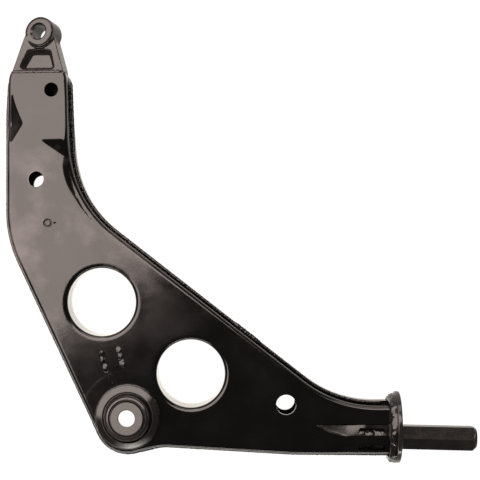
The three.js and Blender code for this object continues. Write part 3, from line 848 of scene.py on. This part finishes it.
def pressed_shell(name, up, sides, insets, rim, height, plain_holes, slots):
    """Half of the box: its two side walls, the plate between them and the funnel lips."""
    left, right = [side_strip(side, insets, rim, up, height) for side in sides]
    verts, faces = [], []
    for rows in (left, right):
        faces += grid_faces(len(rows), len(rows[0]), len(verts))
        verts += [p for line in rows for p in line]
    border = [line[-1][:2] for line in left] + [line[-1][:2] for line in reversed(right)]
    loops, discs = hole_loops(plain_holes)
    extra = []
    if up > 0:
        extra = mark_points()
        discs += [(MARK_AT, MARK_RADIUS + 1.7), (MARK_DOT_AT, 2.0)]
    points, triangles = plate(border, loops + slots, discs, extra, height)
    first = len(verts)
    verts += points
    faces += [tuple(first + i for i in face) for face in triangles]
    for centre in BIG_HOLES:
        top = height(centre[0] + LIP_START, centre[1])
        add_lip(verts, faces, lip_rings(centre, up, top))
    obj = mesh_object(name, verts, faces, merge=0.02)
    face_up(obj, up)
    add_modifier(obj, "SOLIDIFY", thickness=SHEET * MM, offset=-1)
    bake(obj)
    return obj


def upper_insets(point):
    inset = UPPER_INSET + 1.1 * smoothstep(point.y, 304, NECK_END_Y)
    return inset, inset, 4.0 - 0.7 * smoothstep(point.y, 235, 262)


def lower_insets(point):
    return 0.0, LOWER_DRAFT, 5.0


def channel_slots():
    along = Vector((-sin(CHANNEL_ANGLE), cos(CHANNEL_ANGLE)))
    found = []
    for side in (-1, 1):
        x = along.x * CHANNEL_SLOT["middle"] + side * along.y * CHANNEL_PITCH / 2
        y = along.y * CHANNEL_SLOT["middle"] - side * along.x * CHANNEL_PITCH / 2
        found.append((x, y, pi / 2 + CHANNEL_ANGLE))
    return found


def saddle_slots():
    return [(SADDLE_SLOT["x"], SPIGOT_Y + side * SADDLE_SLOT["offset"], 0.0) for side in (-1, 1)]


def make_shells():
    hole_width = SADDLE_SLOT["width"] - SADDLE_SLOT["overlap"]
    over_shank = [slot_outline(*at, SADDLE_SLOT["length"], hole_width) for at in saddle_slots()]
    at_boss = [
        slot_outline(*at, CHANNEL_SLOT["length"], CHANNEL_SLOT["width"]) for at in channel_slots()
    ]
    sides = (UPPER_OUTER, UPPER_INNER)
    holes = [NECK_HOLE, DRAIN_HOLE, TOOLING_HOLE, BOSS_HOLE]
    slots = over_shank + at_boss
    name = "upper_shell_pressing"
    upper = pressed_shell(name, 1, sides, upper_insets, RIM_Z - 3, upper_z, holes, slots)
    finish_piece(upper, PAINT, ["upper_shell"], bevel=0.35)
    sides = (OUTER, INNER)
    holes = [LOWER_DRAIN_HOLE, TOOLING_HOLE, BOSS_HOLE]
    name = "lower_shell_pressing"
    lower = pressed_shell(name, -1, sides, lower_insets, RIM_Z, lower_z, holes, over_shank)
    finish_piece(lower, PAINT, ["lower_shell"], bevel=1.0)


# ---------------- inner joint boss


def make_boss():
    """A cup turned in one piece: corners are (radius, z, rounding), from the stud's hole outwards."""
    corners = [
        # stud hole and cup
        (7.4, 15.0, 0.7), (7.4, 9.0, 0.5), (13.0, 2.0, 1.0), (17.5, -8.0, 1.0),
        (17.5, -50.0, 0.5),
        # outer wall and flange
        (20.2, -50.0, 0.5), (21.2, -49.0, 0.5), (21.2, 3.0, 0.3), (28.2, 3.0, 0.3),
        (28.2, 4.2, 0.5), (22.7, 6.9, 0.4),
        # three rings with grooves between them
        (21.8, 3.9, 0.2), (21.3, 3.9, 0.2), (20.2, 11.3, 0.5), (19.5, 12.3, 0.25),
        (19.1, 10.8, 0.1), (18.9, 10.8, 0.1), (18.4, 12.5, 0.25), (16.7, 13.0, 0.3),
        (15.7, 10.2, 0.1), (15.4, 10.2, 0.1), (14.5, 15.0, 0.35),
    ]
    profile = rounded([c[:2] for c in corners], [c[2] for c in corners], 4)
    boss = lathe("inner_joint_boss_forging", profile, 144, Matrix.Identity(4))
    lean_top(boss)
    finish_piece(boss, FORGED, ["inner_joint_boss"], sharp=50)


def lean_top(boss):
    """The boss's machined top leans a little towards the neck."""
    for vert in boss.data.vertices:
        p = (vert.co - ORIGIN) / MM
        weight = smoothstep(p.z, *BOSS_LEAN_Z)
        fall = (LEAN_TO[0] * p.x + LEAN_TO[1] * p.y) * tan(BOSS_LEAN)
        vert.co.z -= fall * weight * MM


# ---------------- outer joint lug


def level_to_neck():
    """Turns a piece that is drawn level with the neck."""
    pivot = Matrix.Translation((NECK_AXIS_X, 0, NECK_AXIS_Z))
    return pivot @ Matrix.Rotation(-NECK_TWIST, 4, "Y") @ pivot.inverted()


def eye_place():
    turn = Vector((0, 0, 1)).rotation_difference(EYE_AXIS).to_matrix().to_4x4()
    return Matrix.Translation(EYE_CENTRE) @ turn


def cut_pocket(lug, face, inward, place):
    """One of the web's two pockets, whose walls slope from the rim to a smaller floor."""
    rim = rounded([(-98.6, 313.2), (-64.9, 313.2), (-68.9, 331.2), (-89.8, 331.2)], 2.6, 4)
    floor = rounded([(-93.2, 314.4), (-66.6, 314.4), (-70.2, 326.8), (-86.0, 326.8)], 1.6, 4)
    # the cutter goes on for 1 mm past the face
    scale = 1 + 1.0 / POCKET_DEPTH
    outer = [(f[0] + (r[0] - f[0]) * scale, f[1] + (r[1] - f[1]) * scale) for f, r in zip(floor, rim)]
    ends = sorted([(face + inward * POCKET_DEPTH, floor), (face - inward * 1.0, outer)])
    (low, low_outline), (high, high_outline) = ends
    cutter = prism("pocket", place, low, high, low_outline, high_outline)
    boolean(lug, cutter, "DIFFERENCE")


def make_lug():
    place = level_to_neck()
    tongue = [(-104.4, 311.0), (-97.0, 310.0), (-97.0, 303.0), (-65.5, 303.0), (-65.5, 310.0)]
    web = tongue + [(-57.0, 311.0), (-66.4, 346.0), (-92.9, 343.0)]
    lug = prism("outer_joint_lug_forging", place, LUG_BOTTOM, LUG_TOP, web)
    half, chamfer = EYE_LENGTH / 2, EYE_CHAMFER
    corners = [(0, -half), (EYE_RADIUS, -half), (EYE_RADIUS, half - chamfer)]
    corners += [(EYE_RADIUS - chamfer, half), (0, half)]
    barrel = rounded(corners, [0, 1.4, 0.3, 0.3, 0])
    boolean(lug, lathe("eye_barrel", barrel, 96, eye_place()), "UNION")
    cut_pocket(lug, LUG_TOP, -1, place)
    cut_pocket(lug, LUG_BOTTOM, 1, place)
    soften(lug, 0.7, 12)
    square_eye(lug)
    finish_piece(lug, FORGED, ["outer_joint_lug"], sharp=32)


def soften(obj, voxel, repeats):
    """Rounds every edge, as a forging's are."""
    add_modifier(obj, "REMESH", mode="VOXEL", voxel_size=voxel * MM)
    add_modifier(obj, "SMOOTH", factor=0.5, iterations=repeats)
    bake(obj)


def square_eye(lug):
    """Machines the eye's faces and its tapered bore after the forging is rounded."""
    half = EYE_LENGTH / 2
    top, bottom = EYE_BORE
    bore = [(0, -half - 4), (bottom + 1.5, -half - 4), (bottom + 1.5, -half - 0.2)]
    bore += [(bottom, -half + 1.0), (top, half - 1.2), (top + 1.7, half + 0.1)]
    bore += [(top + 1.7, half + 4), (0, half + 4)]
    boolean(lug, lathe("eye_bore", bore, 96, eye_place()), "DIFFERENCE")


# ---------------- spigot


def along_bar(x):
    """A frame whose z runs along the spigot bar, at x."""
    return (
        Matrix.Translation((SPIGOT_TILT_X, SPIGOT_Y, MID_Z))
        @ Matrix.Rotation(SPIGOT_TILT, 4, "Z")
        @ Matrix.Translation((x - SPIGOT_TILT_X, 0, 0))
        @ Matrix.Rotation(pi / 2, 4, "Y")
    )


def make_bar():
    """The round shank, its tenon through the flange, and the hexagon with a turned end."""
    radius, length = SHANK["radius"], SHANK["length"]
    tenon, tenon_end = SHANK["tenon"], SHANK["tenon_end"]
    corners = [(0, 0), (radius, 0), (radius, length), (tenon, length), (tenon, tenon_end)]
    profile = rounded(corners + [(0, tenon_end)], [0, 1, 0.5, 0.3, 0, 0])
    shank_from = FLANGE_X[0] - SHANK["before_flange"]
    bar = lathe("spigot_bar_forging", profile, 96, along_bar(shank_from))
    corner = HEX_FLATS / sqrt(3)
    hex_from = FLANGE_X[1] + 0.3
    length = HEX_END_X - hex_from
    place = along_bar(hex_from)
    hexagon = prism("spigot_hexagon", place, 0, length, circle((0, 0), corner, 6))
    turned = [(0, -1), (corner + 3, -1), (corner + 3, length - 5)]
    turned += [(corner + 0.4, length - 4.4), (corner - HEX_CHAMFER, length), (0, length)]
    boolean(hexagon, lathe("spigot_end", turned, 96, place), "INTERSECT")
    boolean(bar, hexagon, "UNION")
    finish_piece(bar, FORGED, ["spigot_bar"], sharp=30, bevel=0.5)


def make_flange():
    centre = Matrix.Translation((FLANGE_X[0], FLANGE_Y, MID_Z))
    thick = FLANGE_X[1] - FLANGE_X[0]
    corners = [(0, 0), (FLANGE_RADIUS, 0), (FLANGE_RADIUS, thick), (0, thick)]
    disc = rounded(corners, [0, 1.1, 1.3, 0])
    place = centre @ Matrix.Rotation(pi / 2, 4, "Y")
    flange = lathe("spigot_flange_disc", disc, 128, place)
    bore = [(0, -6), (FLANGE_BORE, -6), (FLANGE_BORE, 12), (0, 12)]
    boolean(flange, lathe("flange_bore", bore, 64, along_bar(FLANGE_X[0])), "DIFFERENCE")
    finish_piece(flange, FORGED, ["spigot_flange"], sharp=40)


# ---------------- welds


def bead(node, path, radius, ripple, pitch=2.4, seed=0.0, closed=False):
    """A rippled weld bead along path, a list of (point, size factor)."""
    verts = []
    count = len(path)
    walked = 0.0
    for i, (point, size) in enumerate(path):
        before = path[i - 1][0] if i or closed else point
        after = path[(i + 1) % count][0] if i + 1 < count or closed else point
        tangent = (after - before).normalized()
        side = tangent.cross(Vector((0, 0, 1))).normalized()
        top = side.cross(tangent).normalized()
        if i:
            walked += (point - path[i - 1][0]).length
        phase = (walked / pitch) % 1.0
        scallop = 1 + ripple * (sin(pi * phase) - 0.6)
        end = 1.0 if closed else min(1.0, 0.25 + min(i, count - 1 - i) / 4)
        for k in range(BEAD_SIDES):
            a = 2 * pi * k / BEAD_SIDES
            lump = noise.noise(Vector((walked * 0.45, 2.1 * cos(a), 2.1 * sin(a) + seed)))
            r = radius * size * end * scallop * (1 + 0.28 * lump)
            verts.append(point + side * (r * cos(a)) + top * (r * sin(a)))
    faces = grid_faces(count, BEAD_SIDES, loop_rows=closed, loop_columns=True)
    if not closed:
        faces.append(tuple(range(BEAD_SIDES)))
        faces.append(tuple(range((count - 1) * BEAD_SIDES, count * BEAD_SIDES))[::-1])
    obj = mesh_object(f"{node}_bead", verts, faces)
    finish_piece(obj, WELD, [node], sharp=70, weighted=False)


def seam_bead(node, edge, middle, half, gain, seed):
    """The thin bead between the shells, thicker by gain about one place along the edge."""
    path = []
    count = int(edge.length / SEAM_STEP)
    for i in range(SEAM_FREE_ENDS[0], count - SEAM_FREE_ENDS[1]):
        distance = edge.length * i / count
        point, normal = edge.at(distance)
        size = 1 + (gain - 1) * (1 - smoothstep(abs(distance - middle), half * 0.7, half))
        p = point + normal * SEAM_INSET
        path.append((Vector((p.x, p.y, RIM_Z + 0.1)), size))
    bead(node, path, SEAM_RADIUS, ripple=0.16, seed=seed)


def weld_drops(half, width, seed):
    """Three drops of weld metal along a slot: (x, y, radius, height)."""
    chance = random.Random(seed)
    drops = []
    for i in (-1, 0, 1):
        x = i * half * 0.95 + chance.uniform(-1.6, 1.6)
        y = chance.uniform(-0.2, 0.2) * width
        drops.append((x, y, chance.uniform(0.55, 0.85) * width, chance.uniform(0.6, 1.0)))
    return drops


def plug_weld(node, place, length, width, height, seed, rough=0.0):
    """Run-together drops of weld metal in a slot, drawn along x about the origin."""
    half = (length - width) / 2
    drops = weld_drops(half, width, seed)
    verts = []
    along, across = 84, 22
    for i in range(along + 1):
        x = (2 * i / along - 1) * (half + width / 2)
        over = max(abs(x) - half, 0) / (width / 2)
        for j in range(across + 1):
            y = (2 * j / across - 1) * width / 2 * sqrt(max(1 - over**2, 0.0))
            lump = noise.noise(Vector((x * 0.5 + seed, y * 0.5, seed)))
            grain = noise.noise(Vector((x * 0.6 + seed, y * 0.6, seed)))
            z = -0.7 + 0.35 * lump + rough * grain
            for cx, cy, radius, tall in drops:
                z += height * tall * exp(-(((x - cx) ** 2 + (y - cy) ** 2) / radius**2) * 1.5)
            verts.append(place @ Vector((x, y, z)))
    weld = mesh_object(f"{node}_plug", verts, grid_faces(along + 1, across + 1), 0.01)
    add_modifier(weld, "SOLIDIFY", thickness=1.2 * MM, offset=0)
    add_modifier(weld, "SMOOTH", factor=0.5, iterations=7)
    bake(weld)
    finish_piece(weld, WELD, [node], sharp=80, weighted=False)


def spatter():
    """Small drops thrown on the plate between the stiffener's welds and the boss."""
    chance = random.Random(11)
    verts, faces = [], []
    sides, rings = 8, 3
    for _ in range(SPATTER_DROPS):
        angle = CHANNEL_ANGLE + radians(90) + chance.gauss(0, 0.16)
        r = chance.uniform(*SPATTER_REACH)
        x, y = r * cos(angle), r * sin(angle)
        size = chance.uniform(*SPATTER_SIZE)
        first = len(verts)
        verts.append((x, y, upper_z(x, y) + size * 0.8))
        for k in range(1, rings + 1):
            tilt = pi / 2 * k / rings
            z = upper_z(x, y) + size * 0.8 * cos(tilt) - 0.02
            verts += [(*p, z) for p in circle((x, y), size * sin(tilt), sides)]
        for i in range(sides):
            j = (i + 1) % sides
            faces.append((first, first + 1 + i, first + 1 + j))
            for k in range(rings - 1):
                base = first + 1 + k * sides
                faces.append((base + i, base + sides + i, base + sides + j, base + j))
        faces.append(tuple(first + 1 + (rings - 1) * sides + i for i in range(sides))[::-1])
    obj = mesh_object("weld_spatter", verts, faces)
    finish_piece(obj, WELD, sharp=70, weighted=False)


def flange_weld():
    """The heavy fillet between the shells' open end and the flange."""
    verts = []
    around, across = 150, 9
    for i in range(around):
        a = 2 * pi * i / around
        c, s = cos(a), sin(a)
        # from the box section's outline, with its corners cut, out to near the flange's rim
        reach = 1 / max(abs(c) / FLANGE_WELD["half_width"], abs(s) / FLANGE_WELD["half_depth"])
        reach = min(reach, FLANGE_WELD["corner"])
        toe = reach + 0.2
        foot = min(max(reach + 6.0, FLANGE_RADIUS - 4.5), FLANGE_RADIUS - 0.7)
        scallop = 0.35 * sin(23 * a + 5 * noise.noise(Vector((2 * c, 2 * s, 8))))
        for j in range(across + 1):
            t = pi / 2 * j / across
            lump = noise.noise(Vector((3.2 * c, 3.2 * s, t + 3)))
            small_lump = noise.noise(Vector((9 * c, 9 * s, 2.5 * t)))
            out = sin(2 * t) * (1.5 * lump + 0.9 * small_lump + scallop)
            r = toe + (foot - toe) * sin(t) ** 0.85 + 0.7 * out
            x = FLANGE_X[0] - 0.1 - FLANGE_WELD["length"] * cos(t) ** 0.85 - 0.7 * out
            verts.append(Vector((x, FLANGE_Y - 0.8 + r * c, MID_Z + r * s)))
    faces = grid_faces(around, across + 1, loop_rows=True)
    obj = mesh_object("spigot_flange_weld_bead", verts, faces)
    mesh = obj.data
    centre = row((FLANGE_X[0], FLANGE_Y, MID_Z))
    outward = sum((p.center - centre).yz.dot(p.normal.yz) * p.area for p in mesh.polygons)
    if outward < 0:
        mesh.flip_normals()
    add_modifier(obj, "SOLIDIFY", thickness=1.5 * MM, offset=-1)
    bake(obj)
    finish_piece(obj, WELD, ["spigot_flange_weld"], sharp=60)


def ring_path(radius, z, count):
    return [(Vector((*p, z)), 1.0) for p in circle((0, 0), radius, count)]


def boss_beads():
    """The ring welds between the boss and the two plates."""
    upper = ring_path(28.4, PAD_HEIGHT + 1.0, 170)
    lower = ring_path(22.6, -BODY_DEPTH - 2.0, 150)
    bead("boss_weld_upper", upper, 1.3, ripple=0.03, seed=2.0, closed=True)
    bead("boss_weld_lower", lower, 2.6, ripple=0.2, pitch=4.0, seed=9.0, closed=True)


def lug_bead(node, face, up):
    """The weld across the neck's end, on the lug's upper (+1) or lower (-1) face."""
    place = level_to_neck()
    path = []
    for i in range(LUG_WELD["points"]):
        x = LUG_WELD["start_x"] + LUG_WELD["length"] * i / (LUG_WELD["points"] - 1)
        path.append((place @ Vector((x, NECK_END_Y + 0.8, face + up * 1.2)), 1.0))
    bead(node, path, LUG_WELD["radius"], ripple=0.2, pitch=3.2, seed=7.0 + up)


def stiffener_welds():
    """The slot welds beside the boss."""
    length, width = CHANNEL_SLOT["length"] - 0.4, CHANNEL_SLOT["width"] - 0.3
    for i, (x, y, angle) in enumerate(channel_slots(), 1):
        place = Matrix.Translation((x, y, -0.9)) @ Matrix.Rotation(angle, 4, "Z")
        seed = 3.0 + 2 * i
        plug_weld(f"stiffener_slot_weld_{i}", place, length, width, 2.1, seed, rough=0.35)


def shank_welds():
    """The slot welds over the spigot's shank, two on each side of the box."""
    length, width = SADDLE_SLOT["length"] - 0.4, SADDLE_SLOT["width"] - 0.2
    centre = Matrix.Translation((SADDLE_SLOT["x"], SPIGOT_Y, MID_Z))
    surface = Matrix.Translation((0, 0, SADDLE_RADIUS - 2.6))
    lean = asin(SADDLE_SLOT["offset"] / SADDLE_RADIUS)
    for which, over, sense in (("upper", 0.0, -1), ("lower", pi, 1)):
        for i, side in enumerate((1, -1), 1):
            turn = Matrix.Rotation(over, 4, "X") @ Matrix.Rotation(sense * side * lean, 4, "X")
            node = f"{which}_spigot_slot_weld_{i}"
            plug_weld(node, centre @ turn @ surface, length, width, 1.0, 10.0 + 3 * i)


def make_welds():
    seam_bead("seam_weld_outer", OUTER, middle=372, half=40, gain=1.2, seed=1.0)
    seam_bead("seam_weld_inner", INNER, middle=307, half=16, gain=1.5, seed=4.0)
    boss_beads()
    lug_bead("lug_weld_upper", LUG_TOP, 1)
    lug_bead("lug_weld_lower", LUG_BOTTOM, -1)
    stiffener_welds()
    shank_welds()
    flange_weld()
    spatter()


# ---------------- scene


def paint_carried_over():
    """The hidden stiffener keeps its CAD shape and takes the sheet's paint."""
    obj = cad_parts["boss_stiffener"]
    if not obj.data.materials:
        obj.data.materials.append(PAINT)
    for slot in obj.material_slots:
        slot.material = PAINT


def make_floor():
    """A pale table top: white to the camera, and glowing softly in reflections near the arm."""
    mesh = bpy.data.meshes.new("floor")
    half, z = FLOOR_HALF, FLOOR_Z
    corners = [(-half, -half, z), (half, -half, z), (half, half, z), (-half, half, z)]
    mesh.from_pydata(corners, [], [(0, 1, 2, 3)])
    material, tree, shader = node_material("pale_floor", FLOOR_COLOUR, 0.9)
    shader.inputs["Specular IOR Level"].default_value = 0.0
    shader.inputs["Emission Color"].default_value = (*FLOOR_GLOW, 1)
    across = object_measure(tree, "DOT_PRODUCT", (0.6, 0.8, 0))
    glow = remap(tree, across, -0.11, -0.02, 1.45, 0.6)
    fade = remap(tree, object_measure(tree, "LENGTH"), 0.24, 0.34, 1.0, 0.25)
    tree.links.new(multiply(tree, glow, fade), shader.inputs["Emission Strength"])
    white = tree.nodes.new("ShaderNodeEmission")
    white.inputs["Strength"].default_value = FLOOR_WHITE
    path = tree.nodes.new("ShaderNodeLightPath")
    mix = tree.nodes.new("ShaderNodeMixShader")
    tree.links.new(path.outputs["Is Camera Ray"], mix.inputs[0])
    tree.links.new(shader.outputs[0], mix.inputs[1])
    tree.links.new(white.outputs[0], mix.inputs[2])
    tree.links.new(mix.outputs[0], tree.nodes["Material Output"].inputs["Surface"])
    mesh.materials.append(material)
    scene_object("floor", mesh)


def make_camera():
    data = bpy.data.cameras.new("camera")
    data.lens = 100.0
    data.clip_start = 0.05
    data.clip_end = 50.0
    camera = scene_object("camera", data)
    camera.location = row((*VIEW_CENTRE, CAMERA_HEIGHT))
    bpy.context.scene.camera = camera


def facing(location, target):
    """The turn that points a light at location towards target."""
    return (Vector(target) - Vector(location)).to_track_quat("-Z", "Y").to_euler()


def area_light(name, location, turn, size, power, colour):
    data = bpy.data.lights.new(name, "AREA")
    data.shape = "RECTANGLE"
    data.size, data.size_y = size
    data.energy = power
    data.color = colour
    light = scene_object(name, data)
    light.location = location
    light.rotation_euler = turn
    light.visible_camera = False


def make_soft_panel():
    """A wide panel beside the camera, whose near edge shows on the plate as the grey boundary."""
    width = PANEL_SIDE[1] - PANEL_SIDE[0]
    depth = PANEL_REACH[1] - PANEL_REACH[0]
    middle = Vector(VIEW_CENTRE) * MM
    middle += PANEL_OUTWARD * (sum(PANEL_REACH) / 2) + PANEL_SIDEWAYS * (sum(PANEL_SIDE) / 2)
    location = ORIGIN + Vector((middle.x, middle.y, CAMERA_HEIGHT * MM))
    turn = Euler((0, 0, atan2(PANEL_OUTWARD.y, PANEL_OUTWARD.x) - pi / 2))
    power = PANEL_RADIANCE * pi * width * depth
    area_light("soft_panel", location, turn, (width, depth), power, (1.0, 0.85, 0.79))


def make_lights():
    make_soft_panel()
    middle = (0.1, 0, 0)
    back, front = (0.4, 3.2, 1.3), (0.1, -2.4, 0.4)
    power = 3.0 * pi * 3.6
    area_light("far_panel", back, facing(back, middle), (2.6, 1.4), power, (1.0, 0.92, 0.88))
    power = 12 * pi * 0.85
    area_light("front_strip", front, facing(front, middle), (3.4, 0.25), power, (1, 0.95, 0.88))
    sun_data = bpy.data.lights.new("overhead", "SUN")
    sun_data.energy = SUN_STRENGTH
    sun_data.angle = radians(60)
    scene_object("overhead", sun_data).visible_glossy = False


def make_world():
    """Pale behind the object for the camera; in reflections a dim studio, lighter near the floor."""
    world = bpy.data.worlds.new("studio")
    bpy.context.scene.world = world
    world.use_nodes = True
    tree = world.node_tree
    background = tree.nodes["Background"]
    path = tree.nodes.new("ShaderNodeLightPath")
    mix = tree.nodes.new("ShaderNodeMix")
    mix.data_type = "RGBA"
    mix.inputs["B"].default_value = (BACKDROP, BACKDROP, BACKDROP, 1)
    coords = tree.nodes.new("ShaderNodeTexCoord")
    split = tree.nodes.new("ShaderNodeSeparateXYZ")
    tree.links.new(coords.outputs["Generated"], split.inputs[0])
    glow = remap(tree, split.outputs["Z"], 0.05, 0.3, 0.22, 0.045)
    tint = tree.nodes.new("ShaderNodeCombineColor")
    for channel in ("Red", "Green", "Blue"):
        tree.links.new(glow, tint.inputs[channel])
    tree.links.new(tint.outputs[0], mix.inputs["A"])
    tree.links.new(path.outputs["Is Camera Ray"], mix.inputs["Factor"])
    tree.links.new(mix.outputs["Result"], background.inputs["Color"])


make_camera()
make_shells()
make_boss()
make_lug()
make_bar()
make_flange()
make_welds()
paint_carried_over()
make_floor()
make_lights()
make_world()
bpy.context.scene.view_settings.view_transform = "Standard"
